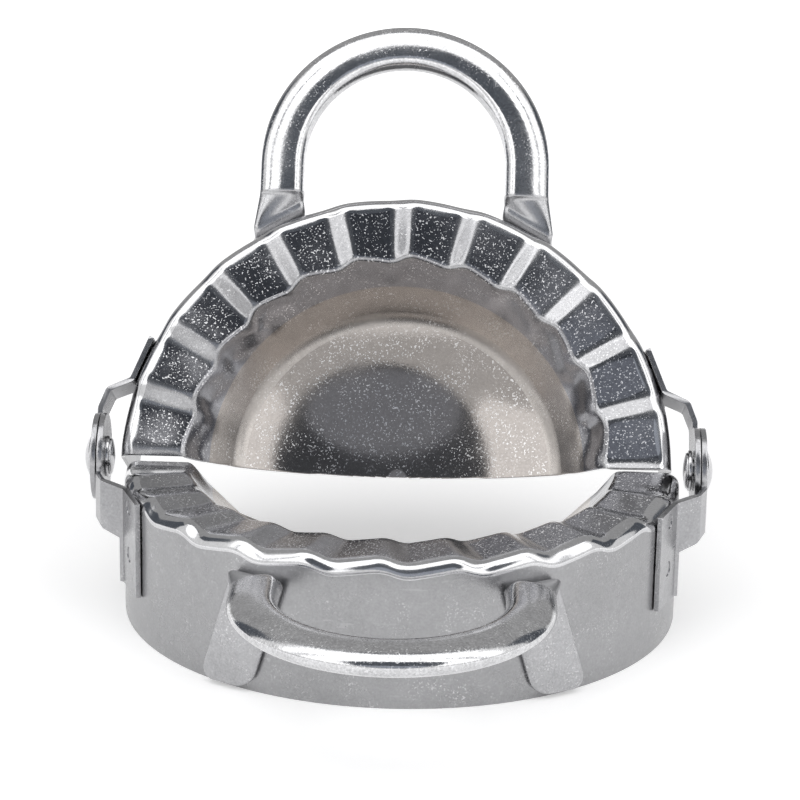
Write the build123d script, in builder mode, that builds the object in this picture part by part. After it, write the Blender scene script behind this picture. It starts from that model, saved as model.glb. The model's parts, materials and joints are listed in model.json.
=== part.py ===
from build123d import *
import os
from math import asin, atan, cos, degrees, radians, sin, tan

# Sizes of one half, in mm. A half is drawn with the hinge axis along X through
# the origin, the closing plane at Z = 0, the dish open upwards and the handle
# towards -Y. Both halves are then placed on the table-top frame.

# Drawn shell
skirt_radius = 47.5  # outside of the round skirt
half_height = 25.0  # closing plane to the lower edge of the skirt
sheet = 0.6  # thickness of the drawn sheet
cut_gap = 0.3  # straight cut side to the hinge axis
flange_drop = 0.5  # middle height of the flange below the closing plane
shoulder_bend = 2.2  # outer bend between flange and skirt
bend_lap = 0.01  # how far the bends beside the pleats run past skirt and wall
dish_depth = 15.5  # middle of the dish below the closing plane
crease_depth = 9.6  # faint ring where the dish wall meets its round bottom
dish_wall_width = 5.6  # crease to the foot of the wall above it, seen from above
wall_width = 3.0  # short steep wall under the flange, seen from above
wall_foot_depth = 4.2
wall_foot_bend = 2.0
flange_width = 11.1  # steep wall to the outside of the skirt
flange_inner_bend = 1.6

# Pleats: long ramps and short falls round the flange, the same way on both halves
pleat_count = 13  # the first and the last lie half behind the straight cut side
pleat_pitch = 15.0  # degrees
pleat_fall = 4.5  # degrees of each pitch that fall back
pleat_height = 1.4  # from trough to crest

# Handle, a loop of flattened tube with both ends pressed flat
tube_width = 8.0
tube_thickness = 5.2
tube_wall = 0.7
handle_drop = 4.8  # middle of the tube below the closing plane
handle_half_width = 21.6
leg_length = 4.0  # straight tube before the round loop
press_length = 3.2  # from full tube to pressed flat
flat_run = 0.2  # flat end to the foot's bend, along the foot's inner side
foot_width = 9.6
foot_thickness = 1.4
foot_turn = 2.95  # degrees the foot stands round the skirt past its leg
foot_shift = 1.36  # foot outwards of its leg, along the bend
foot_slant = 18.0  # degrees from upright
foot_bottom = 24.2  # below the closing plane
foot_corner = 2.6
foot_bend = 1.0  # inside of the bend

# Hinge brackets
bracket_sheet = 0.9
bracket_bend = 1.2  # middle of the sheet at each bend
leaf_distance = 17.65  # hinge axis to the middle of the leaf
leaf_length = 8.2
leaf_bottom = 17.6
leaf_front_top = 1.1
leaf_rear_top = 0.9
leaf_corner = 1.4
jog_stand_off = 2.5  # skirt to the corner of jog and strip, middle of the sheet
jog_distance = 11.9  # hinge axis to that corner
jog_bottom = 9.8
strip_top = 0.2
strip_bottom = 8.4
ear_stand_off = 3.75  # skirt to the middle of the ear's sheet
ear_start = 8.6  # the ear is flat from here to its round end
ear_radius = 7.4
weld_diameter = 2.6
weld_dent = 0.15
weld_depths = (2.9, 11.3)  # below the closing plane

# Hinge rivets and fits
ear_gap = 0.2  # between the two ears of a hinge
side_gap = 0.2  # moving ear to rivet head or washer
rivet_diameter = 4.0
rivet_clearance = 0.05  # radial, shank in the moving ear
rivet_head_diameter = 7.5
rivet_head_height = 1.5
washer_diameter = 7.0
washer_thickness = 0.6
peened_diameter = 6.2
peened_height = 0.8

opening_angle = 119.0  # as shown: 0 is closed and 180 is flat open

# Sizes that follow
flange_inner_radius = skirt_radius - flange_width
wall_foot_radius = flange_inner_radius - wall_width
crease_radius = wall_foot_radius - dish_wall_width
wall_run = (flange_inner_radius - wall_foot_radius) / (wall_foot_depth - flange_drop)
half_shift = (bracket_sheet + ear_gap) / 2  # each half stands off centre by this
foot_angle = degrees(asin(handle_half_width / skirt_radius)) + foot_turn
foot_out = Vector(sin(radians(foot_angle)), -cos(radians(foot_angle)), 0)
foot_along = Vector(cos(radians(foot_angle)), sin(radians(foot_angle)), 0)
bend_middle = foot_bend + foot_thickness / 2
bend_start = foot_out * (skirt_radius + foot_thickness + foot_bend)
foot_middle = (handle_half_width - bend_start.X) / foot_along.X + foot_shift
foot_half = foot_width / 2 / cos(radians(foot_slant))
bend_inner_corner = bend_start + foot_along * (foot_middle - foot_half)
bend_outer_corner = bend_start + foot_along * (foot_middle + foot_half)
flat_start = flat_run - bend_inner_corner.Y
leg_start = flat_start + press_length
leg_end = leg_start + leg_length
handle_reach = leg_end + handle_half_width  # middle of the tube at its farthest
leaf_angle = degrees(asin(leaf_distance / (skirt_radius + bracket_sheet / 2)))
jog_x = skirt_radius + jog_stand_off
ear_x = skirt_radius + ear_stand_off
beyond = 5.0  # how far cutting shapes run past the part


def area_under(level, inset=0.0):
    """Right half of the section under the skin, its flange cut off flat at a level."""
    rim_radius = flange_inner_radius + (level + flange_drop) * wall_run
    right = [
        (crease_radius, -crease_depth),
        (wall_foot_radius, -wall_foot_depth),
        (rim_radius, level),
        (skirt_radius, level),
        (skirt_radius, -half_height - beyond),
    ]
    left = [(-x, z) for x, z in reversed(right)]
    with BuildSketch() as area:
        with BuildLine():
            Polyline(*right, *left)
            ThreePointArc(left[-1], (0, -dish_depth), right[0])
        make_face()
        for side in (1, -1):
            corner = (side * wall_foot_radius, -wall_foot_depth)
            fillet(area.vertices().sort_by_distance(corner)[0], wall_foot_bend)
        if inset:
            offset(amount=-inset, kind=Kind.INTERSECTION)
        with Locations((skirt_radius, 0)):
            Rectangle(2 * skirt_radius, 4 * half_height, mode=Mode.INTERSECT)
    return area.sketch


def space_over_pleat(drop):
    """Everything over one pleat, with both bends beside it, for the skin drop below."""
    inner, outer = wall_foot_radius - beyond, skirt_radius + beyond
    edge, rim = flange_inner_bend - drop, shoulder_bend - drop
    edge_turn = 90 + degrees(atan(1 / wall_run))
    edge_shift = flange_inner_bend * tan(radians(edge_turn / 2 - 45)) - bend_lap
    rim_at = skirt_radius - shoulder_bend + bend_lap
    crest, half_fall, half_pitch = pleat_height / 2, pleat_fall / 2, pleat_pitch / 2
    on_ramp = (half_fall + half_pitch) / 2
    rising = [(half_fall, -crest), (on_ramp, -crest / 2), (half_pitch, 0)]
    steps = [(-turn, -height) for turn, height in reversed(rising)] + [(0, 0)] + rising
    with BuildPart() as space:
        for turn, height in steps:
            away = Vector(0, -1, 0).rotate(Axis.Z, turn)
            level = height - flange_drop
            edge_at = flange_inner_radius + height * wall_run + edge_shift
            with BuildSketch(Plane((0, 0, 0), x_dir=away, z_dir=away.rotate(Axis.Z, -90))):
                with BuildLine():
                    over_edge = CenterArc((edge_at, level - flange_inner_bend), edge, 90, edge_turn - 90)
                    over_rim = CenterArc((rim_at, level - shoulder_bend), rim, 0, 90)
                    Line(over_edge @ 0, over_rim @ 1)
                    Polyline(over_edge @ 1, (inner, beyond), (outer, beyond))
                    Polyline((outer, beyond), (outer, level - shoulder_bend), over_rim @ 0)
                make_face()
        loft()
    return space.part


def pleated_body(inset):
    """Solid under the pleated skin, or under its inner side."""
    with BuildPart() as body:
        with BuildSketch(Plane.XZ):
            add(area_under(pleat_height, inset))
        revolve(axis=Axis.Z)
        split(bisect_by=Plane.XZ.offset(-2 * cut_gap), keep=Keep.TOP)
        turns = [pleat_pitch * (i - (pleat_count - 1) / 2) for i in range(pleat_count)]
        with Locations(*[Rotation(0, 0, turn) for turn in turns]):
            add(space_over_pleat(inset), mode=Mode.SUBTRACT)
    return body.part


def mould_shell():
    """One drawn half: dish, pleated flange, rounded shoulder and skirt."""
    with BuildPart() as shell:
        add(pleated_body(0))
        add(pleated_body(sheet), mode=Mode.SUBTRACT)
        split(bisect_by=Plane.XZ.offset(cut_gap), keep=Keep.TOP)
        split(bisect_by=Plane.XY.offset(-half_height), keep=Keep.TOP)
    return shell.part


def foot_outline():
    """Outline of the foot as seen from outside: upright at the bend, then slanted."""
    bend_end = -handle_drop - bend_middle
    end = foot_middle + (foot_bottom + bend_end) * tan(radians(foot_slant))
    with BuildSketch() as outline:
        Polygon(
            (foot_middle - foot_half, 0),
            (foot_middle + foot_half, 0),
            (foot_middle + foot_half, bend_end),
            (end + foot_half, -foot_bottom),
            (end - foot_half, -foot_bottom),
            (foot_middle - foot_half, bend_end),
            align=None,
        )
        fillet(outline.vertices().group_by(Axis.Y)[0], foot_corner)
    return outline.sketch


def handle_foot():
    """Pressed flat end of the tube, bent down along the skirt, on the +X side."""
    with BuildPart() as foot:
        with BuildSketch(Plane(foot_out * (skirt_radius + foot_thickness / 2), foot_out, -foot_along)):
            with BuildLine():
                Line((0, -foot_bottom), (0, -handle_drop - bend_middle))
                CenterArc((bend_middle, -handle_drop - bend_middle), bend_middle, 180, -90)
            trace(line_width=foot_thickness)
        extrude(amount=2 * foot_width, both=True)
        with BuildSketch(Plane(foot_out * skirt_radius, x_dir=foot_along, z_dir=foot_out)):
            add(foot_outline())
        extrude(amount=2 * bend_middle + foot_thickness, mode=Mode.INTERSECT)
        with BuildSketch(Plane.XY.offset(-handle_drop - foot_thickness / 2)):
            Polygon(
                (handle_half_width - foot_width / 2, -flat_start),
                (handle_half_width + foot_width / 2, -flat_start),
                (bend_outer_corner.X, bend_outer_corner.Y),
                (bend_inner_corner.X, bend_inner_corner.Y),
                align=None,
            )
        extrude(amount=foot_thickness)
    return foot.part


def handle():
    """Loop of flattened tube with its two pressed feet."""
    plane = Plane.XY.offset(-handle_drop)
    with BuildPart() as loop:
        with BuildLine(plane) as route:
            Line((handle_half_width, -leg_start), (handle_half_width, -leg_end))
            ThreePointArc(
                (handle_half_width, -leg_end), (0, -handle_reach), (-handle_half_width, -leg_end)
            )
            Line((-handle_half_width, -leg_end), (-handle_half_width, -leg_start))
        with BuildSketch(Plane((handle_half_width, -leg_start, -handle_drop), (1, 0, 0), (0, -1, 0))):
            Ellipse(tube_width / 2, tube_thickness / 2)
            Ellipse(tube_width / 2 - tube_wall, tube_thickness / 2 - tube_wall, mode=Mode.SUBTRACT)
        sweep(path=route.wire())
        for side in (1, -1):
            x = side * handle_half_width
            with BuildSketch(Plane((x, -leg_start, -handle_drop), (1, 0, 0), (0, 1, 0))):
                Ellipse(tube_width / 2, tube_thickness / 2)
            with BuildSketch(Plane((x, -flat_start, -handle_drop), (1, 0, 0), (0, 1, 0))):
                Ellipse(foot_width / 2, foot_thickness / 2)
            loft()
        foot = handle_foot()
        add(foot)
        add(foot.mirror(Plane.YZ))
    return loop.part


def hinge_bracket():
    """Bent sheet on the +X side: leaf on the skirt, jog, and ear round the rivet."""
    out = Vector(cos(radians(leaf_angle)), -sin(radians(leaf_angle)), 0)
    rear = Vector(sin(radians(leaf_angle)), cos(radians(leaf_angle)), 0)
    middle = out * (skirt_radius + bracket_sheet / 2)
    front_end = middle - rear * (leaf_length / 2)
    rear_end = middle + rear * (leaf_length / 2)
    with BuildPart() as bracket:
        with BuildSketch(Plane.XY.offset(-leaf_bottom)):
            with BuildLine():
                FilletPolyline(
                    front_end,
                    rear_end,
                    (jog_x, -jog_distance),
                    (ear_x, -ear_start),
                    (ear_x, ear_radius),
                    radius=bracket_bend,
                )
            trace(line_width=bracket_sheet)
        extrude(amount=leaf_bottom + ear_radius)
        with BuildSketch(Plane.YZ) as side:
            Polygon(
                (front_end.Y - bracket_sheet, -leaf_front_top),
                (rear_end.Y, -leaf_rear_top),
                (-jog_distance, -strip_top),
                (0, -strip_top),
                (0, -ear_radius * 0.95),
                (-jog_distance, -strip_bottom),
                (rear_end.Y, -jog_bottom),
                (rear_end.Y, -leaf_bottom),
                (front_end.Y - bracket_sheet, -leaf_bottom),
                align=None,
            )
            fillet(side.vertices().group_by(Axis.X)[0], leaf_corner)
            Circle(ear_radius)
        extrude(amount=2 * skirt_radius, mode=Mode.INTERSECT)
        with Locations((ear_x, 0, 0)):
            with Locations(Rotation(0, 90, 0)):
                Cylinder(
                    rivet_diameter / 2 + rivet_clearance, 4 * bracket_sheet, mode=Mode.SUBTRACT
                )
        for depth in weld_depths:
            face_middle = middle + out * (bracket_sheet / 2) - Vector(0, 0, depth)
            with BuildSketch(Plane(face_middle, z_dir=out)):
                Circle(weld_diameter / 2)
            extrude(amount=-weld_dent, mode=Mode.SUBTRACT)
    return bracket.part


def stack_faces(head_seated):
    """Distances from the middle to the washer's outer face and the head's underside."""
    reach = half_shift + bracket_sheet / 2
    washer_gap, head_gap = (side_gap, 0) if head_seated else (0, side_gap)
    return ear_x - reach - washer_gap, ear_x + reach + head_gap


def dome(radius, height):
    """Radius of the ball that a low dome is part of, and the angle of its half."""
    ball = (radius**2 + height**2) / (2 * height)
    return ball, degrees(asin(radius / ball))


def hinge_rivet(head_seated):
    """Rivet on the +X side, with a domed head outside and a peened head inside."""
    washer_face, head_base = stack_faces(head_seated)
    peen_base = washer_face - washer_thickness
    peen_edge = peen_base - peened_height * 0.4
    head_edge = head_base + rivet_head_height * 0.25
    head_top, peen_top = head_base + rivet_head_height, peen_base - peened_height
    shank, head, peen = rivet_diameter / 2, rivet_head_diameter / 2, peened_diameter / 2
    head_ball, head_sweep = dome(head, head_top - head_edge)
    peen_ball, peen_sweep = dome(peen, peen_edge - peen_top)
    with BuildPart() as rivet:
        with BuildSketch(Plane.XZ):
            with BuildLine():
                Polyline(
                    (peen_edge, peen),
                    (peen_base, peen),
                    (peen_base, shank),
                    (head_base, shank),
                    (head_base, head),
                    (head_edge, head),
                )
                CenterArc((head_top - head_ball, 0), head_ball, 0, head_sweep)
                Line((head_top, 0), (peen_top, 0))
                CenterArc((peen_top + peen_ball, 0), peen_ball, 180 - peen_sweep, peen_sweep)
            make_face()
        revolve(axis=Axis.X)
    return rivet.part


def rivet_washer(head_seated):
    """Flat ring between the peened head and the ear, on the +X side."""
    washer_face = stack_faces(head_seated)[0]
    with BuildPart() as washer:
        with BuildSketch(Plane.YZ.offset(washer_face - washer_thickness)):
            Circle(washer_diameter / 2)
            Circle(rivet_diameter / 2 + rivet_clearance, mode=Mode.SUBTRACT)
        extrude(amount=washer_thickness)
    return washer.part


def on_table(half, upper):
    """Place a half, its pieces still in their own frame, as the object stands."""
    if upper:
        turn = Rotation(-opening_angle, 0, 0) * Rotation(0, 180, 0)
        return Pos(-half_shift, 0, half_height) * turn * half
    return Pos(half_shift, 0, half_height) * half


os.makedirs("parts", exist_ok=True)

bracket = hinge_bracket()
loop_handle = handle()
shell = mould_shell()
lower_shell = on_table(shell, upper=False)
upper_shell = on_table(shell, upper=True)
upper_loop = on_table(loop_handle, upper=True)

# The origin is under the middle of the whole object as it stands
front = -handle_reach - tube_width / 2
back = max(upper_shell.bounding_box().max.Y, upper_loop.bounding_box().max.Y)
centred = Pos(side_gap / 2, -(front + back) / 2, 0)
hinge_line = centred * Pos(0, 0, half_height)

# Lower half, standing on its skirt
with BuildPart() as lower_mould_shell:
    add(centred * lower_shell)
lower_mould_shell.part.label = "lower_mould_shell"
export_step(lower_mould_shell.part, "parts/lower_mould_shell.step")

with BuildPart() as lower_handle:
    add(centred * on_table(loop_handle, upper=False))
lower_handle.part.label = "lower_handle"
export_step(lower_handle.part, "parts/lower_handle.step")

with BuildPart() as lower_left_hinge_bracket:
    add(centred * on_table(bracket.mirror(Plane.YZ), upper=False))
lower_left_hinge_bracket.part.label = "lower_left_hinge_bracket"
export_step(lower_left_hinge_bracket.part, "parts/lower_left_hinge_bracket.step")

with BuildPart() as lower_right_hinge_bracket:
    add(centred * on_table(bracket, upper=False))
lower_right_hinge_bracket.part.label = "lower_right_hinge_bracket"
export_step(lower_right_hinge_bracket.part, "parts/lower_right_hinge_bracket.step")

# Hinge pins, carried by the lower half. The right ear of the lower half lies
# outside and holds the rivet's head, its left ear lies inside and holds the washer.
with BuildPart() as left_hinge_rivet:
    add(hinge_line * hinge_rivet(head_seated=False).mirror(Plane.YZ))
left_hinge_rivet.part.label = "left_hinge_rivet"
export_step(left_hinge_rivet.part, "parts/left_hinge_rivet.step")

with BuildPart() as right_hinge_rivet:
    add(hinge_line * hinge_rivet(head_seated=True))
right_hinge_rivet.part.label = "right_hinge_rivet"
export_step(right_hinge_rivet.part, "parts/right_hinge_rivet.step")

with BuildPart() as left_rivet_washer:
    add(hinge_line * rivet_washer(head_seated=False).mirror(Plane.YZ))
left_rivet_washer.part.label = "left_rivet_washer"
export_step(left_rivet_washer.part, "parts/left_rivet_washer.step")

with BuildPart() as right_rivet_washer:
    add(hinge_line * rivet_washer(head_seated=True))
right_rivet_washer.part.label = "right_rivet_washer"
export_step(right_rivet_washer.part, "parts/right_rivet_washer.step")

# Upper half, swung open. It is turned over, so the bracket drawn on the +X side
# stands left.
with BuildPart() as upper_mould_shell:
    add(centred * upper_shell)
upper_mould_shell.part.label = "upper_mould_shell"
export_step(upper_mould_shell.part, "parts/upper_mould_shell.step")

with BuildPart() as upper_handle:
    add(centred * upper_loop)
upper_handle.part.label = "upper_handle"
export_step(upper_handle.part, "parts/upper_handle.step")

with BuildPart() as upper_left_hinge_bracket:
    add(centred * on_table(bracket, upper=True))
upper_left_hinge_bracket.part.label = "upper_left_hinge_bracket"
export_step(upper_left_hinge_bracket.part, "parts/upper_left_hinge_bracket.step")

with BuildPart() as upper_right_hinge_bracket:
    add(centred * on_table(bracket.mirror(Plane.YZ), upper=True))
upper_right_hinge_bracket.part.label = "upper_right_hinge_bracket"
export_step(upper_right_hinge_bracket.part, "parts/upper_right_hinge_bracket.step")
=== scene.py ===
import json
from math import asin, atan2, cos, degrees, hypot, pi, radians, sin, tan

import bmesh
import bpy
from mathutils import Matrix, Vector


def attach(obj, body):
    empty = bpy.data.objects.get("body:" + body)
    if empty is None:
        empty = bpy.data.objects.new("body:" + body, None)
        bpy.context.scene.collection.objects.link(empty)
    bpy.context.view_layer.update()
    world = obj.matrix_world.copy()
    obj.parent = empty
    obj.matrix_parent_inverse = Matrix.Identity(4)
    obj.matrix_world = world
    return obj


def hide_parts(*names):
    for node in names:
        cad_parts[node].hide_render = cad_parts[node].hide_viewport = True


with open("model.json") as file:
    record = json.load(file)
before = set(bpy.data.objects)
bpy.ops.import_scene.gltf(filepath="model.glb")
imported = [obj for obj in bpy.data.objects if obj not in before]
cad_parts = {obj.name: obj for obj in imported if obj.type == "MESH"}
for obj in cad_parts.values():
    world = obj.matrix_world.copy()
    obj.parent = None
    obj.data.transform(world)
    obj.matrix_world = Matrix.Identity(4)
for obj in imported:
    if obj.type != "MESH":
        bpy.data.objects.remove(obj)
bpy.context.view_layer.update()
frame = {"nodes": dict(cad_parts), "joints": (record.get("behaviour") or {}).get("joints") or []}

# Sizes in metres. A half is modelled with the hinge axis along X through the
# origin, the closing plane at Z = 0, the dish open upwards and the handle
# towards -Y, and is then copied to its two places.
MM = 0.001
NEAR = 0.1 * MM
MERGED = 0.01 * MM
SAME_PLACE = 0.001 * MM
EDGE_BREAK = 0.12 * MM
SHEET_EDGE_ANGLE = radians(40)
CUT_EDGE_ANGLE = radians(78)
FLAT_ANGLE = radians(0.5)

# Drawn shell
SKIRT_RADIUS = 47.5 * MM
HALF_HEIGHT = 25.0 * MM
SHEET = 0.6 * MM
CUT_GAP = 0.3 * MM
FLANGE_DROP = 0.5 * MM
SHOULDER_BEND = 2.2 * MM
DISH_DEPTH = 15.5 * MM
CREASE_RADIUS = 27.8 * MM
CREASE_DEPTH = 9.6 * MM
CREASE_HALF_WIDTH = 1.3 * MM
WALL_FOOT_RADIUS = 33.4 * MM
WALL_FOOT_DEPTH = 4.2 * MM
WALL_SHADE_REACH = 1.2 * MM  # how far the wall's darker finish, a painted shade, runs down past its foot
FLANGE_INNER_RADIUS = 36.4 * MM
FLANGE_INNER_BEND = 1.6 * MM

# Rings on the open shell that tell its regions apart
RIM_RADIUS = SKIRT_RADIUS - SHOULDER_BEND
FLANGE_EDGE = FLANGE_INNER_RADIUS - 0.6 * MM
INNER_BEND_FROM = FLANGE_INNER_RADIUS - 0.9 * MM
INNER_BEND_TO = FLANGE_INNER_RADIUS + 1.4 * MM
PAD_END_FROM = RIM_RADIUS - 2.3 * MM
PAD_END_TO = RIM_RADIUS - 0.8 * MM

SHELL_REGIONS = ("dish", "skirt", "rim", "pad", "rib", "crease", "wall", "bottom")

# Pleats, long ramps and short falls round the flange; pitch, fall and roundings in degrees
PLEAT_PITCH = 15.0
PLEAT_FALL = 4.5
PLEAT_HEIGHT = 1.4 * MM
ROUNDING_SAMPLES = 3  # heights taken on each side of a corner to round it
PLEAT_ROUNDING = 0.75
BEND_ROUNDING = 1.6
PAD_END_ROUNDING = 1.2
RIM_ROUNDING = 1.7
PAD_CORNER = 1.6 * MM
PAD_SPARE = 0.4  # degrees between a pad and the falls beside it
PLEAT_COLUMNS = 20
CHORD_DEPTH = 0.6 * MM  # how far the rim is drawn in behind the middle of a ramp

# Handle, a flattened tube with its ends pressed flat
TUBE_WIDTH = 8.0 * MM
TUBE_THICKNESS = 5.2 * MM
TUBE_SIDES = 32
CROWN_SHIFT = 1.7 * MM
HANDLE_DROP = 4.8 * MM
HANDLE_HALF_WIDTH = 21.6 * MM
HANDLE_REACH = 76.0 * MM
LEG_START = 48.8 * MM
FOOT_WIDTH = 9.6 * MM
FOOT_THICKNESS = 1.4 * MM
FOOT_ANGLE = radians(30)
FOOT_SLANT = radians(18)
FOOT_BOTTOM = 24.2 * MM
FOOT_CORNER = 2.6 * MM
FOOT_CORNER_TURN = radians(88)
FOOT_BEND = 1.0 * MM
PINCH = ((0.15 * MM, 0.97), (0.3 * MM, 0.84))  # step along the tube and share of its thickness

# Places of the two halves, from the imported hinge
hinge = frame["joints"][0]
HINGE_AT = Vector(hinge["pos_m"])
OPENING = radians(-hinge["range_deg"][0])
EAR_SHEET = 0.9 * MM
EAR_GAP = 0.2 * MM
HALF_SHIFT = Vector(((EAR_SHEET + EAR_GAP) / 2, 0, 0))

PLACES = {
    "lower": Matrix.Translation(HINGE_AT + HALF_SHIFT),
    "upper": Matrix.Translation(HINGE_AT - HALF_SHIFT)
    @ Matrix.Rotation(-OPENING, 4, "X")
    @ Matrix.Rotation(pi, 4, "Y"),
}
BODIES = {"lower": "lower_half", "upper": "upper_half"}


# Modelling by hand


def start(add, **shape):
    """Adds a primitive with nothing else selected and opens it for editing."""
    bpy.ops.object.select_all(action="DESELECT")
    add(location=(0, 0, 0), **shape)
    bpy.ops.object.mode_set(mode="EDIT")
    return bpy.context.object


def start_point(place):
    """Starts a piece from one point, ready to be drawn on from."""
    piece = start(bpy.ops.mesh.primitive_plane_add, size=MM)
    bpy.ops.mesh.merge(type="CENTER")
    bpy.ops.transform.translate(value=place)
    return piece


def pick(test):
    """Selects the points whose place passes the test."""
    mesh = bmesh.from_edit_mesh(bpy.context.object.data)
    for face in mesh.faces:
        face.select_set(False)
    for edge in mesh.edges:
        edge.select_set(False)
    for point in mesh.verts:
        point.select_set(bool(test(point.co)))
    mesh.select_flush(True)
    bmesh.update_edit_mesh(bpy.context.object.data)


def pick_open_ends(test):
    """Selects the edges of open ends whose place passes the test."""
    bpy.ops.mesh.select_mode(type="EDGE")
    mesh = bmesh.from_edit_mesh(bpy.context.object.data)
    for edge in mesh.edges:
        middle = (edge.verts[0].co + edge.verts[1].co) / 2
        edge.select_set(edge.is_boundary and test(middle))
    bmesh.update_edit_mesh(bpy.context.object.data)


def extrude(step):
    """Extrudes what is selected by a step."""
    bpy.ops.mesh.extrude_region_move(TRANSFORM_OT_translate={"value": step})


def draw_line(start_at, end_at, parts):
    """Extrudes the selected point from one place to another in equal parts."""
    step = (Vector(end_at) - Vector(start_at)) / parts
    for _ in range(parts):
        extrude(step)


def finish_piece(piece, name):
    """Closes the piece for editing and names it."""
    bpy.ops.object.mode_set(mode="OBJECT")
    piece.name = name
    piece.data.name = name
    return piece


def apply_modifier(piece, kind, **settings):
    """Adds a modifier with these settings and applies it."""
    bpy.ops.object.select_all(action="DESELECT")
    piece.select_set(True)
    bpy.context.view_layer.objects.active = piece
    modifier = piece.modifiers.new(kind.title(), kind)
    for key, value in settings.items():
        setattr(modifier, key, value)
    bpy.ops.object.modifier_apply(modifier=modifier.name)


def break_edges(piece, angle):
    """Breaks the edges that are sharper than the angle."""
    apply_modifier(
        piece, "BEVEL", width=EDGE_BREAK, segments=2, limit_method="ANGLE", angle_limit=angle
    )


def smooth(piece, angle=radians(35)):
    """Shades the piece smooth, with its sharp corners kept."""
    bpy.ops.object.select_all(action="DESELECT")
    piece.select_set(True)
    bpy.context.view_layer.objects.active = piece
    bpy.ops.object.shade_smooth_by_angle(angle=angle)


def copy_to(piece, name, place):
    """A copy of the piece, its mesh moved to its place."""
    mesh = piece.data.copy()
    mesh.transform(place)
    mesh.name = name
    made = bpy.data.objects.new(name, mesh)
    bpy.context.scene.collection.objects.link(made)
    return made


# Shell


def turn_of(place):
    """Direction round the shell in degrees: 0 is the front and 90 is +X."""
    return degrees(atan2(place.x, -place.y))


def column_of(place):
    """Which of the columns of one pleat a point lies on, 0 in the middle of a fall."""
    return round(turn_of(place) * PLEAT_COLUMNS / PLEAT_PITCH) % PLEAT_COLUMNS


def within_pleat(turn):
    """The turn from the middle of the nearest fall, up to half a pitch each way."""
    return (turn + PLEAT_PITCH / 2) % PLEAT_PITCH - PLEAT_PITCH / 2


def sawtooth(turn):
    """Height of a sharp pleat at a turn from the middle of its fall, from -1 to 1."""
    turn = within_pleat(turn)
    half_fall, half_pitch = PLEAT_FALL / 2, PLEAT_PITCH / 2
    if abs(turn) <= half_fall:
        return -turn / half_fall
    side = 1 if turn > 0 else -1
    return -side * (half_pitch - abs(turn)) / (half_pitch - half_fall)


def pleat_height(turn, rounding):
    """Height of the pleat with its corners rounded over some degrees each way."""
    samples = range(-ROUNDING_SAMPLES, ROUNDING_SAMPLES + 1)
    nearby = [turn + rounding * k / ROUNDING_SAMPLES for k in samples]
    return PLEAT_HEIGHT / 2 * sum(sawtooth(t) for t in nearby) / len(nearby)


def draw_shell_profile():
    """Draws the skin from the middle of the dish out to the lower edge of the skirt."""
    bulge = DISH_DEPTH - CREASE_DEPTH
    ball = (CREASE_RADIUS**2 + bulge**2) / (2 * bulge)
    piece = start_point((0, 0, -DISH_DEPTH))
    # The last short part before the crease is drawn apart, to keep the crease crisp
    to_crease = asin(CREASE_RADIUS / ball)
    short = CREASE_HALF_WIDTH / ball
    middle = (0, 0, ball - DISH_DEPTH)
    bpy.ops.mesh.spin(steps=14, angle=-(to_crease - short), center=middle, axis=(0, 1, 0))
    bpy.ops.mesh.spin(steps=1, angle=-short, center=middle, axis=(0, 1, 0))

    crease = Vector((-CREASE_RADIUS, 0, -CREASE_DEPTH))
    foot = Vector((-WALL_FOOT_RADIUS, 0, -WALL_FOOT_DEPTH))
    along = (foot - crease).normalized()
    draw_line(crease, crease + along * CREASE_HALF_WIDTH, parts=1)
    draw_line(crease + along * CREASE_HALF_WIDTH, foot, parts=5)

    corner = Vector((-FLANGE_INNER_RADIUS, 0, -FLANGE_DROP))
    slope = atan2(corner.z - foot.z, foot.x - corner.x)
    reach = FLANGE_INNER_BEND * tan(slope / 2)
    bend_start = corner - Vector((-cos(slope), 0, sin(slope))) * reach
    draw_line(foot, bend_start, parts=3)
    bend_middle = (corner.x - reach, 0, corner.z - FLANGE_INNER_BEND)
    bpy.ops.mesh.spin(steps=6, angle=slope, center=bend_middle, axis=(0, 1, 0))

    shoulder_start = Vector((SHOULDER_BEND - SKIRT_RADIUS, 0, -FLANGE_DROP))
    draw_line((corner.x - reach, 0, -FLANGE_DROP), shoulder_start, parts=8)
    shoulder_middle = shoulder_start - Vector((0, 0, SHOULDER_BEND))
    bpy.ops.mesh.spin(steps=8, angle=pi / 2, center=shoulder_middle, axis=(0, 1, 0))
    skirt_top = Vector((-SKIRT_RADIUS, 0, shoulder_middle.z))
    skirt_edge = Vector((-SKIRT_RADIUS, 0, -HALF_HEIGHT))
    draw_line(skirt_top, skirt_edge, parts=8)
    return piece


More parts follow.
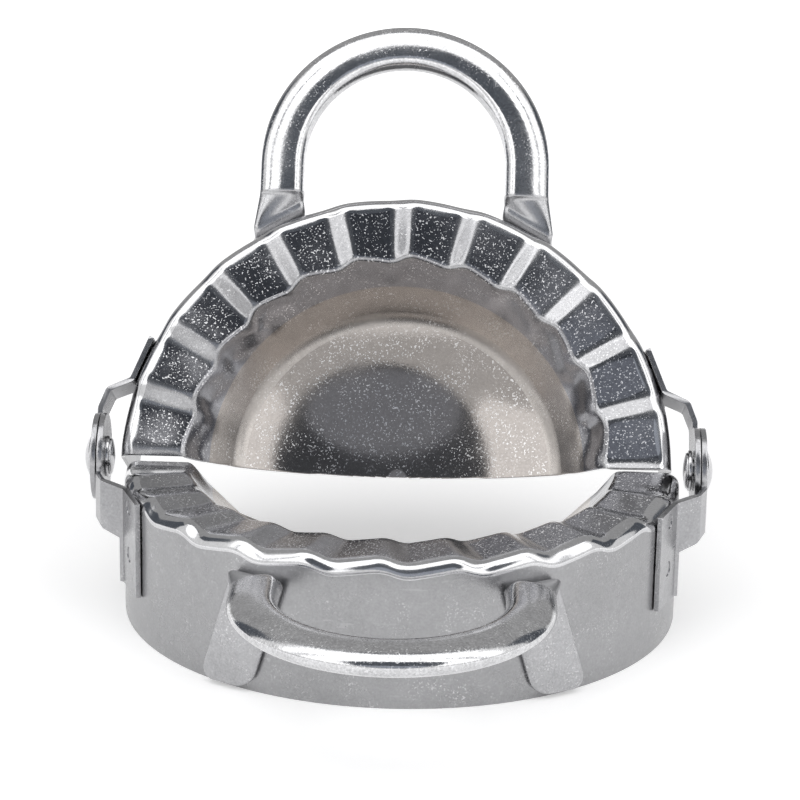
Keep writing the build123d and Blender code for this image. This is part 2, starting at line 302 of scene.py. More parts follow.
def press_pleats():
    """Presses the pleats into the open shell's flange, one column of each at a time."""
    wall_run = (FLANGE_INNER_RADIUS - WALL_FOOT_RADIUS) / (WALL_FOOT_DEPTH - FLANGE_DROP)
    skirt_top = -FLANGE_DROP - SHOULDER_BEND - NEAR
    for column in range(PLEAT_COLUMNS):
        turn = column * PLEAT_PITCH / PLEAT_COLUMNS
        height = pleat_height(turn, BEND_ROUNDING)
        from_ramp = PLEAT_PITCH / 2 - abs(within_pleat(turn))
        chord = max(0, 1 - (from_ramp / (PLEAT_PITCH / 2 - PLEAT_FALL / 2)) ** 2)

        def in_column(p, low, high):
            return column_of(p) == column and low < hypot(p.x, p.y) < high

        # The wall leans out with the pleat's height, half as far at its foot as at its top
        half_lean = 0.5 * height * wall_run
        share = 1 + half_lean / FLANGE_INNER_RADIUS
        bend_from = INNER_BEND_FROM + half_lean
        pick(lambda p: in_column(p, WALL_FOOT_RADIUS - NEAR, INNER_BEND_TO))
        bpy.ops.transform.resize(value=(share, share, 1), center_override=(0, 0, 0))
        pick(lambda p: in_column(p, bend_from, INNER_BEND_TO))
        bpy.ops.transform.resize(value=(share, share, 1), center_override=(0, 0, 0))
        # The rim's inner edge is drawn in a little behind each ramp
        pick(lambda p: in_column(p, RIM_RADIUS - NEAR, RIM_RADIUS + NEAR))
        share = 1 - CHORD_DEPTH * chord / RIM_RADIUS
        bpy.ops.transform.resize(value=(share, share, 1), center_override=(0, 0, 0))
        # The pleat is crisp along the pad and rounder towards the wall and the rim
        rows = (
            (bend_from, INNER_BEND_TO, BEND_ROUNDING),
            (INNER_BEND_TO, PAD_END_FROM, PLEAT_ROUNDING),
            (PAD_END_FROM, PAD_END_TO, PAD_END_ROUNDING),
            (PAD_END_TO, SKIRT_RADIUS + MM, RIM_ROUNDING),
        )
        for low, high, rounding in rows:
            pick(lambda p: in_column(p, low, high) and p.z > skirt_top)
            bpy.ops.transform.translate(value=(0, 0, pleat_height(turn, rounding)))


def finish_region(slot, test):
    """Gives the faces whose middle passes the test the finish in this slot."""
    bpy.ops.mesh.select_mode(type="FACE")
    mesh = bmesh.from_edit_mesh(bpy.context.object.data)
    for face in mesh.faces:
        face.select_set(bool(test(face.calc_center_median())))
    bmesh.update_edit_mesh(bpy.context.object.data)
    bpy.context.object.active_material_index = slot
    bpy.ops.object.material_slot_assign()
    bpy.ops.mesh.select_mode(type="VERT")


def on_pad(place):
    """Whether a place lies on a ramp's pad, which has rounded corners."""
    distance = hypot(place.x, place.y)
    turn = within_pleat(turn_of(place))
    from_side = radians(abs(turn) - PLEAT_FALL / 2 - PAD_SPARE) * distance
    from_end = min(distance - FLANGE_EDGE, RIM_RADIUS - distance)
    if min(from_side, from_end) < 0:
        return False
    short_side = max(0, PAD_CORNER - from_side)
    short_end = max(0, PAD_CORNER - from_end)
    return hypot(short_side, short_end) < PAD_CORNER


def finish_shell_regions():
    """Each region but the dish, which has the first finish, gets its own: the skirt, rim and ribs
    what the die left there, the pads and the bottom a darker tone as painted dark reflection, the
    wall a darker tone as painted shade, and the crease a lighter tone as painted highlight.
    """
    wall = WALL_FOOT_RADIUS - WALL_SHADE_REACH
    shoulder = -FLANGE_DROP - SHOULDER_BEND
    regions = (
        ("skirt", lambda p: p.z < shoulder and hypot(p.x, p.y) > RIM_RADIUS),
        ("rim", lambda p: p.z > shoulder and hypot(p.x, p.y) > RIM_RADIUS),
        ("rib", lambda p: FLANGE_EDGE < hypot(p.x, p.y) < RIM_RADIUS),
        ("pad", on_pad),
        ("crease", lambda p: abs(hypot(p.x, p.y) - CREASE_RADIUS) < CREASE_HALF_WIDTH),
        ("wall", lambda p: wall < hypot(p.x, p.y) < FLANGE_EDGE),
        ("bottom", lambda p: hypot(p.x, p.y) < CREASE_RADIUS - CREASE_HALF_WIDTH),
    )
    for region, test in regions:
        finish_region(SHELL_REGIONS.index(region), test)


def model_shell(finishes):
    """One half: dish, pleated flange, shoulder and skirt, drawn from one sheet.

    The finishes are in the order of SHELL_REGIONS.
    """
    shell = draw_shell_profile()
    bpy.ops.mesh.select_all(action="SELECT")
    columns = int(180 / PLEAT_PITCH * PLEAT_COLUMNS)
    bpy.ops.mesh.spin(steps=columns, angle=-pi, center=(0, 0, 0), axis=(0, 0, 1))
    bpy.ops.mesh.select_all(action="SELECT")
    bpy.ops.mesh.remove_doubles(threshold=MERGED)
    for finish in finishes:
        shell.data.materials.append(finish)
    finish_shell_regions()
    press_pleats()
    bpy.ops.mesh.select_all(action="SELECT")
    bpy.ops.mesh.bisect(plane_co=(0, -CUT_GAP, 0), plane_no=(0, 1, 0), clear_outer=True)
    bpy.ops.mesh.select_all(action="SELECT")
    bpy.ops.mesh.normals_make_consistent(inside=False)
    mesh = bmesh.from_edit_mesh(shell.data)
    if max(mesh.faces, key=lambda face: face.calc_center_median().z).normal.z < 0:
        bpy.ops.mesh.flip_normals()
    finish_piece(shell, "shell")
    apply_modifier(shell, "SOLIDIFY", thickness=SHEET, offset=-1, use_even_offset=True)
    break_edges(shell, CUT_EDGE_ANGLE)
    smooth(shell)
    return shell


# Handle


def draw_foot():
    """Draws a foot facing -Y, from the pressed section down, and turns it to its place."""
    foot = start(bpy.ops.mesh.primitive_circle_add, vertices=TUBE_SIDES, radius=1.0)
    bend_outer = FOOT_BEND + FOOT_THICKNESS
    half_width = FOOT_WIDTH / 2 / cos(FOOT_SLANT)
    top = -HANDLE_DROP + FOOT_THICKNESS / 2
    bpy.ops.transform.rotate(value=pi / 2, orient_axis="X", center_override=(0, 0, 0))
    bpy.ops.transform.resize(value=(half_width, 1, FOOT_THICKNESS), center_override=(0, 0, 0))
    for side in (1, -1):
        pick(lambda p: p.z * side > FOOT_THICKNESS / 2)
        level = (0, 0, side * FOOT_THICKNESS / 2)
        bpy.ops.transform.resize(value=(1, 1, 0), center_override=level)
    bpy.ops.mesh.select_all(action="SELECT")
    bend_distance = SKIRT_RADIUS + bend_outer
    bpy.ops.transform.translate(value=(0, -bend_distance, -HANDLE_DROP))
    # Bent down ring by ring, each a little to the side, so that the bend runs slanting
    bend_middle = (0, -bend_distance, top - bend_outer)
    bend_steps = 8
    bend_shift = (FOOT_BEND + FOOT_THICKNESS / 2) * pi / 2 * tan(FOOT_SLANT)
    bpy.ops.transform.translate(value=(-bend_shift, 0, 0))
    for _ in range(bend_steps):
        extrude((bend_shift / bend_steps, 0, 0))
        bpy.ops.transform.rotate(
            value=pi / 2 / bend_steps, orient_axis="X", center_override=bend_middle
        )
    straight = FOOT_BOTTOM - FOOT_CORNER + bend_middle[2]
    parts = 8
    for _ in range(parts):
        extrude((straight * tan(FOOT_SLANT) / parts, 0, -straight / parts))
    # Rounded lower corners, each ring narrower than the one before
    corner_steps = 6
    drop_before, share_before = 0.0, 1.0
    for k in range(1, corner_steps + 1):
        angle = FOOT_CORNER_TURN * k / corner_steps
        drop = FOOT_CORNER * (sin(angle) - drop_before)
        drop_before = sin(angle)
        share = 1 - FOOT_CORNER * (1 - cos(angle)) / half_width
        extrude((drop * tan(FOOT_SLANT), 0, -drop))
        chosen = [v.co for v in bmesh.from_edit_mesh(foot.data).verts if v.select]
        middle = sum(chosen, Vector()) / len(chosen)
        bpy.ops.transform.resize(value=(share / share_before, 1, 1), center_override=middle)
        share_before = share
    bpy.ops.mesh.edge_face_add()
    bpy.ops.mesh.select_all(action="SELECT")
    across = (HANDLE_HALF_WIDTH - SKIRT_RADIUS * sin(FOOT_ANGLE)) / cos(FOOT_ANGLE)
    bpy.ops.transform.translate(value=(across, 0, 0))
    bpy.ops.transform.rotate(value=-FOOT_ANGLE, orient_axis="Z", center_override=(0, 0, 0))
    bpy.ops.object.mode_set(mode="OBJECT")
    return foot


def draw_half_loop():
    """Draws half of the loop, from its middle round to the pinch at the end of its leg."""
    loop = start(bpy.ops.mesh.primitive_circle_add, vertices=TUBE_SIDES, radius=1.0)
    bpy.ops.transform.rotate(value=pi / 2, orient_axis="X", center_override=(0, 0, 0))
    bpy.ops.transform.rotate(value=pi / 2, orient_axis="Z", center_override=(0, 0, 0))
    bpy.ops.transform.resize(value=(1, 1, TUBE_THICKNESS / 2), center_override=(0, 0, 0))
    # The bend flattens the outer wall, so the thickest place is nearer the inside
    for side in (1, -1):
        pick(lambda p: p.y * side > NEAR)
        half_width = TUBE_WIDTH / 2 - side * CROWN_SHIFT
        bpy.ops.transform.resize(value=(1, half_width, 1), center_override=(0, 0, 0))
    bpy.ops.mesh.select_all(action="SELECT")
    bpy.ops.transform.translate(value=(0, CROWN_SHIFT - HANDLE_REACH, -HANDLE_DROP))
    leg_end = HANDLE_REACH - HANDLE_HALF_WIDTH
    middle = (0, -leg_end, -HANDLE_DROP)
    bpy.ops.mesh.spin(steps=32, angle=-pi / 2, center=middle, axis=(0, 0, 1))
    for _ in range(3):
        extrude((0, (leg_end - LEG_START) / 3, 0))
    # A crisp pinch where the press closed on the tube
    pinch_middle = (HANDLE_HALF_WIDTH, -LEG_START, -HANDLE_DROP)
    for reach, share in PINCH:
        extrude((0, reach, 0))
        bpy.ops.transform.resize(value=(1, 1, share), center_override=pinch_middle)
    bpy.ops.object.mode_set(mode="OBJECT")
    return loop


def model_handle(finishes):
    """Loop of flattened tube with two pressed feet: one side, then its mirror image."""
    foot = draw_foot()
    loop = draw_half_loop()
    foot.select_set(True)
    loop.select_set(True)
    bpy.context.view_layer.objects.active = loop
    bpy.ops.object.join()
    bpy.ops.object.mode_set(mode="EDIT")
    pick_open_ends(lambda p: p.x > MM)
    bpy.ops.mesh.bridge_edge_loops(number_cuts=6, interpolation="LINEAR")
    for finish in finishes:
        loop.data.materials.append(finish)
    finish_region(1, lambda p: p.y > -LEG_START)
    bpy.ops.mesh.select_all(action="SELECT")
    bpy.ops.mesh.normals_make_consistent(inside=False)
    finish_piece(loop, "handle")
    apply_modifier(loop, "MIRROR", use_clip=True, merge_threshold=MERGED)
    apply_modifier(loop, "SUBSURF", levels=1, render_levels=1)
    smooth(loop, radians(60))
    return loop


# Brackets, rivets and washers


def soften(node, name, finish):
    """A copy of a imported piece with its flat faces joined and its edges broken."""
    piece = copy_to(frame["nodes"][node], name, Matrix.Identity(4))
    bpy.ops.object.select_all(action="DESELECT")
    piece.select_set(True)
    bpy.context.view_layer.objects.active = piece
    if piece.data.has_custom_normals:
        bpy.ops.mesh.customdata_custom_splitnormals_clear()
    bpy.ops.object.mode_set(mode="EDIT")
    bpy.ops.mesh.select_all(action="SELECT")
    bpy.ops.mesh.remove_doubles(threshold=SAME_PLACE)
    bpy.ops.mesh.dissolve_limited(angle_limit=FLAT_ANGLE)
    bpy.ops.object.mode_set(mode="OBJECT")
    break_edges(piece, SHEET_EDGE_ANGLE)
    smooth(piece)
    apply_modifier(piece, "WEIGHTED_NORMAL", keep_sharp=True)
    piece.data.materials.clear()
    piece.data.materials.append(finish)
    return piece


# Materials

# How much of each pattern a metre holds, and the levels between which it sets in
SPECKS_PER_METRE = 3000.0
SPECK_LEVELS = (0.59, 0.7)
CLUSTERS_PER_METRE = 190.0
CLUSTER_LEVELS = (0.6, 0.9)
CLUSTER_LIFT = 0.5
SCRATCH_LEVELS = (0.69, 0.75)
SMUDGES_PER_METRE = 70.0
SMUDGE_LEVELS = (0.32, 0.68)
WORN_EDGE_LEVELS = (0.53, 0.6)
WEAR_PER_METRE = 500.0
WEAR_LEVELS = (0.35, 0.6)

# Pressed grain: a fine noise, and a coarser one on a share of its scale and height
GRAIN_PER_METRE = 2600.0
COARSE_SCALE = 0.23
COARSE_HEIGHT = 0.5
MEAN_HEIGHT = 0.5 + 0.5 * COARSE_HEIGHT

# The two ways that the hair scratches run: turn, and how dense they are along each axis
SCRATCH_RUNS = (
    ((0.4, 0.9, 0.3), (1700, 60, 900)),
    ((1.1, 0.2, 1.3), (70, 1500, 1000)),
)

# How the marks show in tone, gloss and relief
BARE_STEEL = (0.93, 0.93, 0.94, 1)
GRAIN_TONE = 4
GRAIN_BUMP = 2
GRAIN_RELIEF = 0.02 * MM
SCRATCH_LIGHT = 0.35
SCRATCH_DEPTH = 0.6
MARK_ROUGHNESS = 0.3


def new_group(name, inputs, outputs):
    """An empty shader node group with named inputs and outputs."""
    group = bpy.data.node_groups.new(name, "ShaderNodeTree")
    for label, kind, value in inputs:
        socket = group.interface.new_socket(label, in_out="INPUT", socket_type=kind)
        if value is not None:
            socket.default_value = value
    for label, kind in outputs:
        group.interface.new_socket(label, in_out="OUTPUT", socket_type=kind)
    entry = group.nodes.new("NodeGroupInput")
    result = group.nodes.new("NodeGroupOutput")
    return group, entry, result


def add_math(nodes, links, operation, *values):
    """A Math node on two or three values, each a socket or a number, and its result."""
    node = nodes.new("ShaderNodeMath")
    node.operation = operation
    for socket, value in zip(node.inputs, values):
        if isinstance(value, bpy.types.NodeSocket):
            links.new(value, socket)
        else:
            socket.default_value = value
    return node.outputs[0]


def add_range(nodes, links, value, low, high, to_low=0.0, to_high=1.0):
    """A smooth step of a value between two levels."""
    node = nodes.new("ShaderNodeMapRange")
    node.interpolation_type = "SMOOTHSTEP"
    links.new(value, node.inputs["Value"])
    node.inputs["From Min"].default_value = low
    node.inputs["From Max"].default_value = high
    node.inputs["To Min"].default_value = to_low
    node.inputs["To Max"].default_value = to_high
    return node.outputs["Result"]


def add_noise(nodes, links, place, scale, detail):
    """Noise on a place, with its scale a socket or a number per metre."""
    node = nodes.new("ShaderNodeTexNoise")
    links.new(place, node.inputs["Vector"])
    node.inputs["Detail"].default_value = detail
    if isinstance(scale, bpy.types.NodeSocket):
        links.new(scale, node.inputs["Scale"])
    else:
        node.inputs["Scale"].default_value = scale
    return node.outputs["Fac"]


def build_pressed_grain():
    """Fine grain of pressed sheet: an uneven height, and a tone round zero."""
    group, entry, result = new_group(
        "pressed_grain",
        (
            ("Place", "NodeSocketVector", None),
            ("Per Metre", "NodeSocketFloat", GRAIN_PER_METRE),
        ),
        (("Height", "NodeSocketFloat"), ("Tone", "NodeSocketFloat")),
    )
    nodes, links = group.nodes, group.links
    fine = add_noise(nodes, links, entry.outputs["Place"], entry.outputs["Per Metre"], detail=2.0)
    coarse_scale = add_math(nodes, links, "MULTIPLY", entry.outputs["Per Metre"], COARSE_SCALE)
    coarse = add_noise(nodes, links, entry.outputs["Place"], coarse_scale, detail=3.0)
    height = add_math(nodes, links, "MULTIPLY_ADD", coarse, COARSE_HEIGHT, fine)
    links.new(height, result.inputs["Height"])
    tone = add_math(nodes, links, "SUBTRACT", height, MEAN_HEIGHT)
    links.new(tone, result.inputs["Tone"])
    return group


def build_bright_specks():
    """Bright pinpoints in loose clusters, painted glints, as a mask."""
    group, entry, result = new_group(
        "painted_glint_specks",
        (
            ("Place", "NodeSocketVector", None),
            ("Per Metre", "NodeSocketFloat", SPECKS_PER_METRE),
            ("Amount", "NodeSocketFloat", 0.5),
        ),
        (("Mask", "NodeSocketFloat"),),
    )
    nodes, links = group.nodes, group.links
    fine = add_noise(nodes, links, entry.outputs["Place"], entry.outputs["Per Metre"], detail=1.0)
    points = add_range(nodes, links, fine, *SPECK_LEVELS)
    cluster = add_noise(nodes, links, entry.outputs["Place"], CLUSTERS_PER_METRE, detail=3.0)
    amount = entry.outputs["Amount"]
    lifted = add_math(nodes, links, "MULTIPLY_ADD", amount, CLUSTER_LIFT, cluster)
    clusters = add_range(nodes, links, lifted, *CLUSTER_LEVELS)
    mask = add_math(nodes, links, "MULTIPLY", points, clusters)
    links.new(mask, result.inputs["Mask"])
    return group


def build_fine_scratches():
    """Short hair scratches in two directions, as a mask."""
    group, entry, result = new_group(
        "fine_scratches",
        (("Place", "NodeSocketVector", None), ("Amount", "NodeSocketFloat", 0.5)),
        (("Mask", "NodeSocketFloat"),),
    )
    nodes, links = group.nodes, group.links
    lines = []
    for turn, density in SCRATCH_RUNS:
        turned = nodes.new("ShaderNodeMapping")
        turned.inputs["Rotation"].default_value = turn
        turned.inputs["Scale"].default_value = density
        links.new(entry.outputs["Place"], turned.inputs["Vector"])
        noise = add_noise(nodes, links, turned.outputs["Vector"], 1.0, detail=1.0)
        lines.append(add_range(nodes, links, noise, *SCRATCH_LEVELS))
    both = add_math(nodes, links, "MAXIMUM", *lines)
    mask = add_math(nodes, links, "MULTIPLY", both, entry.outputs["Amount"])
    links.new(mask, result.inputs["Mask"])
    return group


def build_hand_smudges():
    """Broad soft smears where the steel was handled, as a value round zero."""
    group, entry, result = new_group(
        "hand_smudges",
        (
            ("Place", "NodeSocketVector", None),
            ("Per Metre", "NodeSocketFloat", SMUDGES_PER_METRE),
        ),
        (("Smear", "NodeSocketFloat"),),
    )
    nodes, links = group.nodes, group.links
    noise = add_noise(nodes, links, entry.outputs["Place"], entry.outputs["Per Metre"], detail=4.0)
    smear = add_range(nodes, links, noise, *SMUDGE_LEVELS, to_low=-0.5, to_high=0.5)
    links.new(smear, result.inputs["Smear"])
    return group


def build_edge_wear():
    """Rubbed bright edges, broken up by noise, as a mask."""
    group, entry, result = new_group(
        "edge_wear",
        (("Place", "NodeSocketVector", None), ("Amount", "NodeSocketFloat", 0.5)),
        (("Mask", "NodeSocketFloat"),),
    )
    nodes, links = group.nodes, group.links
    shape = nodes.new("ShaderNodeNewGeometry")
    edges = add_range(nodes, links, shape.outputs["Pointiness"], *WORN_EDGE_LEVELS)
    noise = add_noise(nodes, links, entry.outputs["Place"], WEAR_PER_METRE, detail=3.0)
    broken = add_range(nodes, links, noise, *WEAR_LEVELS)
    worn = add_math(nodes, links, "MULTIPLY", edges, broken)
    mask = add_math(nodes, links, "MULTIPLY", worn, entry.outputs["Amount"])
    links.new(mask, result.inputs["Mask"])
    return group


GRAIN = build_pressed_grain()
SPECKS = build_bright_specks()
SCRATCHES = build_fine_scratches()
SMUDGES = build_hand_smudges()
WEAR = build_edge_wear()


def add_seen_rays(nodes, links):
    """1 for camera, glossy and transmission rays, and 0 for the light on the object."""
    rays = nodes.new("ShaderNodeLightPath").outputs
    seen = add_math(nodes, links, "MAXIMUM", rays["Is Camera Ray"], rays["Is Glossy Ray"])
    return add_math(nodes, links, "MAXIMUM", seen, rays["Is Transmission Ray"])


def add_group(nodes, links, group, place, **values):
    """Places a node group on a coordinate, with its own values."""
    node = nodes.new("ShaderNodeGroup")
    node.node_tree = group
    links.new(place, node.inputs["Place"])
    for label, value in values.items():
        node.inputs[label].default_value = value
    return node


def new_steel(
    name, color, roughness, grain=0.1, specks=0.4, speck_light=0.5, scratches=0.3,
    smears=0.1, wear=0.0,
):
    """A steel: its tone with grain, smears, specks and worn edges, and the same in its gloss."""
    material = bpy.data.materials.new(name)
    material.use_nodes = True
    nodes, links = material.node_tree.nodes, material.node_tree.links
    shader = nodes["Principled BSDF"]
    shader.inputs["Metallic"].default_value = 1
    place = nodes.new("ShaderNodeTexCoord").outputs["Object"]
    fine = add_group(nodes, links, GRAIN, place)
    points = add_group(nodes, links, SPECKS, place, Amount=specks)
    hairs = add_group(nodes, links, SCRATCHES, place, Amount=scratches)
    smeared = add_group(nodes, links, SMUDGES, place)

    # Tone round one, from the grain and the smears
    toned, smear = fine.outputs["Tone"], smeared.outputs["Smear"]
    tone = add_math(nodes, links, "MULTIPLY_ADD", toned, grain * GRAIN_TONE, 1.0)
    shade = add_math(nodes, links, "MULTIPLY_ADD", smear, smears, tone)
    plain = nodes.new("ShaderNodeVectorMath")
    plain.operation = "SCALE"
    plain.inputs[0].default_value = color
    links.new(shade, plain.inputs["Scale"])

    # Specks, which are painted glints, hair scratches and worn edges are lighter than the sheet
    light = add_math(nodes, links, "MULTIPLY", points.outputs["Mask"], speck_light)
    if wear:
        worn = add_group(nodes, links, WEAR, place, Amount=wear)
        light = add_math(nodes, links, "MAXIMUM", light, worn.outputs["Mask"])
    scratched = add_math(nodes, links, "MULTIPLY", hairs.outputs["Mask"], SCRATCH_LIGHT)
    light = add_math(nodes, links, "MAXIMUM", light, scratched)
    mix = nodes.new("ShaderNodeMix")
    mix.data_type = "RGBA"
    links.new(light, mix.inputs["Factor"])
    links.new(plain.outputs[0], mix.inputs["A"])
    mix.inputs["B"].default_value = BARE_STEEL
    links.new(mix.outputs["Result"], shader.inputs["Base Color"])

    # Gloss: specks and scratches scatter, smears dull it
    rough = add_math(nodes, links, "MULTIPLY_ADD", smear, smears, roughness)
    rougher = add_math(nodes, links, "MULTIPLY_ADD", light, MARK_ROUGHNESS, rough)
    links.new(rougher, shader.inputs["Roughness"])

    # Relief: grain with the scratches cut into it
    cut, height = hairs.outputs["Mask"], fine.outputs["Height"]
    depth = add_math(nodes, links, "MULTIPLY_ADD", cut, -SCRATCH_DEPTH, height)
    bump = nodes.new("ShaderNodeBump")
    bump.inputs["Strength"].default_value = min(1.0, grain * GRAIN_BUMP)
    bump.inputs["Distance"].default_value = GRAIN_RELIEF
    links.new(depth, bump.inputs["Height"])
    links.new(bump.outputs["Normal"], shader.inputs["Normal"])
    return material


# The pads' darker tone, below the ribs and the rim of the same sheet, is a painted dark
# reflection.
pad_reflection_steel = new_steel(
    "pleat_pad_painted_reflection_steel", (0.29, 0.29, 0.305), 0.17, grain=0.18, specks=1.0, speck_light=1.0,
    smears=0.2,
)
rib_steel = new_steel(
    "pleat_rib_steel", (0.37, 0.37, 0.38), 0.22, grain=0.12, specks=0.5, scratches=0.2, wear=0.7
)
rim_steel = new_steel(
    "rolled_rim_steel", (0.58, 0.58, 0.59), 0.13, grain=0.08, specks=0.3, scratches=0.2, wear=0.8
)
dish_steel = new_steel(
    "satin_dish_steel", (0.38, 0.352, 0.33), 0.2, specks=0.42, scratches=0.1, smears=0.14
)
# The bottom is more polished than the dish wall, and its darker tone is a painted dark reflection.
bottom_reflection_steel = new_steel(
    "dish_bottom_painted_reflection_steel", (0.31, 0.288, 0.273), 0.11, specks=0.6, speck_light=0.7,
    scratches=0.1, smears=0.06,
)
# The crease ring is a little lighter than the dish: a painted highlight where the crease catches
# light.
crease_highlight_steel = new_steel("crease_painted_highlight_steel", (0.4, 0.375, 0.355), 0.27, scratches=0.1)
# The wall under the flange's edge is darker than the dish: a painted shade.
wall_shade_steel = new_steel(
    "pleated_wall_painted_shade_steel", (0.29, 0.29, 0.305), 0.17, specks=0.5, scratches=0.1
)
skirt_steel = new_steel(
    "drawn_skirt_steel", (0.355, 0.355, 0.362), 0.28, grain=0.08, specks=0.3, scratches=0.25,
    smears=0.08,
)
tube_steel = new_steel(
    "polished_tube_steel", (0.6, 0.6, 0.61), 0.15, grain=0.2, specks=0.6, speck_light=0.7,
    scratches=0.2, smears=0.08,
)
foot_steel = new_steel(
    "pressed_foot_steel", (0.43, 0.43, 0.44), 0.26, grain=0.12, scratches=0.2, wear=0.5
)
sheet_steel = new_steel(
    "bracket_sheet_steel", (0.36, 0.36, 0.37), 0.24, grain=0.12, specks=0.3, wear=0.6
)
rivet_steel = new_steel("rivet_steel", (0.55, 0.55, 0.56), 0.18, wear=0.8)


# The pieces

shell = model_shell(
    (
        dish_steel, skirt_steel, rim_steel, pad_reflection_steel, rib_steel, crease_highlight_steel, wall_shade_steel,
        bottom_reflection_steel,
    )
)
handle = model_handle((tube_steel, foot_steel))
sources = ((shell, "mould_shell", "shell_steel"), (handle, "handle", "handle_steel"))
for half, place in PLACES.items():
    for source, name, slot in sources:
        piece = copy_to(source, f"{half}_{name}_formed", place)
        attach(piece, BODIES[half])
        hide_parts(f"{half}_{name}")
bpy.data.objects.remove(shell)
bpy.data.objects.remove(handle)

for half, body in BODIES.items():
    for side in ("left", "right"):
        node = f"{half}_{side}_hinge_bracket"
        piece = soften(node, f"{node}_bent", sheet_steel)
        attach(piece, body)
        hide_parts(node)
for side in ("left", "right"):
    for kind in ("hinge_rivet", "rivet_washer"):
        node = f"{side}_{kind}"
        piece = soften(node, f"{node}_turned", rivet_steel)
        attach(piece, "lower_half")
        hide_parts(node)


# Studio

CAMERA_AZIMUTH = 1.33
CAMERA_ELEVATION = 17.5
CAMERA_DISTANCE = 493.5 * MM
CAMERA_RISE = 11.4 * MM
CAMERA_ROLL = radians(1.03)
CAMERA_LENS = 130.3
STUDIO_RISE = 10 * MM
WHITE = (1, 1, 1, 1)
ROOM_GREY = (0.36, 0.36, 0.365, 1)
FLOOR_PALE = (0.93, 0.93, 0.93, 1)
FLOOR_WIDTH = 6.0
FLOOR_NEAR, FLOOR_FAR = 0.1, 0.7
FLOOR_GLOW_NEAR, FLOOR_GLOW_FAR = 0.34, 1.0
FLAG_BLACK = (0.02, 0.02, 0.02, 1)


def direction(azimuth, elevation):
    """Unit vector away from the object: azimuth 0 is the front and 90 is +X."""
    a, e = radians(azimuth), radians(elevation)
    return Vector((sin(a) * cos(e), -cos(a) * cos(e), sin(e)))


def add_lamp(name, azimuth, elevation, distance, size, watts, look_at):
    """A flat lamp of this width and height that faces the object."""
    lamp = bpy.data.lights.new(name, "AREA")
    lamp.shape = "RECTANGLE"
    lamp.size, lamp.size_y = size
    lamp.energy = watts
    holder = bpy.data.objects.new(name, lamp)
    toward = direction(azimuth, elevation)
    holder.location = look_at + toward * distance
    holder.rotation_euler = toward.to_track_quat("Z", "Y").to_euler()
    bpy.context.scene.collection.objects.link(holder)


def build_world():
    """White for the camera and for reflections, and an even grey light for the rest."""
    world = bpy.data.worlds.new("studio")
    bpy.context.scene.world = world
    world.use_nodes = True
    nodes, links = world.node_tree.nodes, world.node_tree.links
    nodes.clear()
    room = nodes.new("ShaderNodeBackground")
    room.inputs["Color"].default_value = ROOM_GREY
    white = nodes.new("ShaderNodeBackground")
    white.inputs["Color"].default_value = WHITE
    mix = nodes.new("ShaderNodeMixShader")
    output = nodes.new("ShaderNodeOutputWorld")
    links.new(add_seen_rays(nodes, links), mix.inputs[0])
    links.new(room.outputs[0], mix.inputs[1])
    links.new(white.outputs[0], mix.inputs[2])
    links.new(mix.outputs[0], output.inputs["Surface"])


def build_floor():
    """Pale floor that keeps the object's shadow."""
    bpy.ops.object.select_all(action="DESELECT")
    bpy.ops.mesh.primitive_plane_add(size=FLOOR_WIDTH)
    floor = bpy.context.object
    floor.name = "floor"
    material = bpy.data.materials.new("pale_floor")
    material.use_nodes = True
    nodes, links = material.node_tree.nodes, material.node_tree.links
    shader = nodes["Principled BSDF"]
    shader.inputs["Base Color"].default_value = FLOOR_PALE
    shader.inputs["Roughness"].default_value = 0.9
    shader.inputs["Specular IOR Level"].default_value = 0
    shader.inputs["Emission Color"].default_value = WHITE
    # Lamplight fades away from the object, so the floor itself is whiter there
    away = nodes.new("ShaderNodeVectorMath")
    away.operation = "LENGTH"
    links.new(nodes.new("ShaderNodeTexCoord").outputs["Object"], away.inputs[0])
    whiter = add_range(
        nodes, links, away.outputs["Value"], FLOOR_NEAR, FLOOR_FAR, FLOOR_GLOW_NEAR, FLOOR_GLOW_FAR
    )
    lift = add_math(nodes, links, "MULTIPLY", add_seen_rays(nodes, links), whiter)
    links.new(lift, shader.inputs["Emission Strength"])
    floor.data.materials.append(material)


def new_flag_finish(name, color, glow):
    """A flat studio flag colour that glows a little, so that it is never quite black."""
    material = bpy.data.materials.new(name)
    material.use_nodes = True
    shader = material.node_tree.nodes["Principled BSDF"]
    shader.inputs["Base Color"].default_value = FLAG_BLACK
    shader.inputs["Specular IOR Level"].default_value = 0
    shader.inputs["Emission Color"].default_value = (*color, 1)
    shader.inputs["Emission Strength"].default_value = glow
    return material


def add_flag(name, finish, azimuth, elevation, distance, size, oval, look_at):
    """A studio flag, oblong or oval, that only reflections show."""
    bpy.ops.object.select_all(action="DESELECT")
    if oval:
        bpy.ops.mesh.primitive_circle_add(vertices=64, radius=0.5, fill_type="NGON")
    else:
        bpy.ops.mesh.primitive_plane_add(size=1)
    flag = bpy.context.object
    flag.name = name
    toward = direction(azimuth, elevation)
    flag.scale = (*size, 1)
    flag.rotation_euler = toward.to_track_quat("Z", "Y").to_euler()
    flag.location = look_at + toward * distance
    flag.visible_camera = flag.visible_diffuse = flag.visible_shadow = False
    flag.data.materials.append(finish)


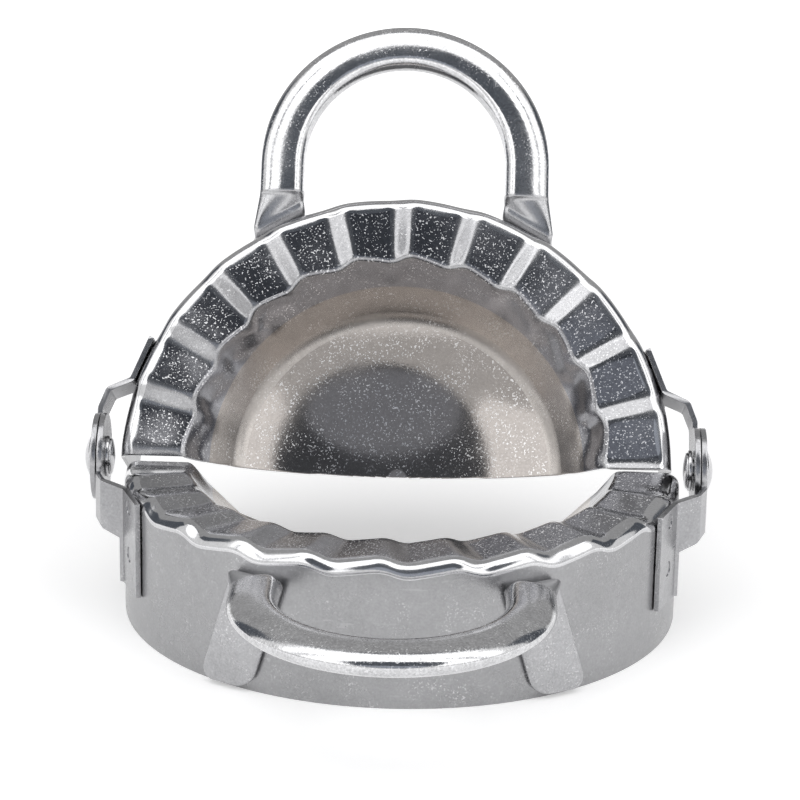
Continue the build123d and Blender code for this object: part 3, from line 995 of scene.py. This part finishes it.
def build_camera():
    """The photograph's camera, fitted to the object's outline."""
    target = HINGE_AT + Vector((0, 0, CAMERA_RISE))
    toward = direction(CAMERA_AZIMUTH, CAMERA_ELEVATION)
    data = bpy.data.cameras.new("camera")
    data.sensor_width = 36
    data.lens = CAMERA_LENS
    data.clip_start, data.clip_end = 0.01, 10
    camera = bpy.data.objects.new("camera", data)
    bpy.context.scene.collection.objects.link(camera)
    camera.location = target + toward * CAMERA_DISTANCE
    roll = Matrix.Rotation(CAMERA_ROLL, 4, "Z")
    turn = toward.to_track_quat("Z", "Y").to_matrix().to_4x4() @ roll
    camera.rotation_euler = turn.to_euler()
    bpy.context.scene.camera = camera


build_world()
build_floor()
build_camera()
middle = HINGE_AT + Vector((0, 0, STUDIO_RISE))
# Name, azimuth, elevation, distance, size, watts
LAMPS = (
    ("key_lamp", -50, 42, 0.9, (0.9, 0.9), 2.4),
    ("fill_lamp", 56, 38, 0.9, (0.84, 0.86), 2.1),
    ("top_lamp", 0, 86, 0.9, (1.1, 0.85), 2.8),
)
for name, azimuth, elevation, distance, size, watts in LAMPS:
    add_lamp(name, azimuth, elevation, distance, size, watts, middle)

dark = new_flag_finish("flag_dark", (0.76, 0.85, 1), 0.13)
grey = new_flag_finish("flag_grey", (1, 1, 1), 0.42)
blue = new_flag_finish("flag_blue", (0.82, 0.88, 1), 0.48)
# Name, finish, azimuth, elevation, distance, size, oval
FLAGS = (
    ("front_flag", dark, 4, 37, 0.75, (0.84, 0.86), True),
    ("room_flag", blue, 3, 20.5, 0.7, (0.54, 0.29), True),
    ("left_strip", dark, -62, 36, 0.7, (0.045, 0.8), False),
    ("right_strip", dark, 62, 36, 0.7, (0.045, 0.8), False),
    ("top_strip", dark, 180, 75, 0.7, (0.8, 0.045), False),
    ("left_flag", dark, -112, 12, 0.6, (0.28, 0.7), False),
    ("right_flag", dark, 112, 12, 0.6, (0.28, 0.7), False),
    ("rear_flag", grey, 180, 42, 0.8, (2.0, 1.1), False),
)
for name, finish, azimuth, elevation, distance, size, oval in FLAGS:
    add_flag(name, finish, azimuth, elevation, distance, size, oval, middle)

bpy.context.scene.view_settings.view_transform = "Standard"
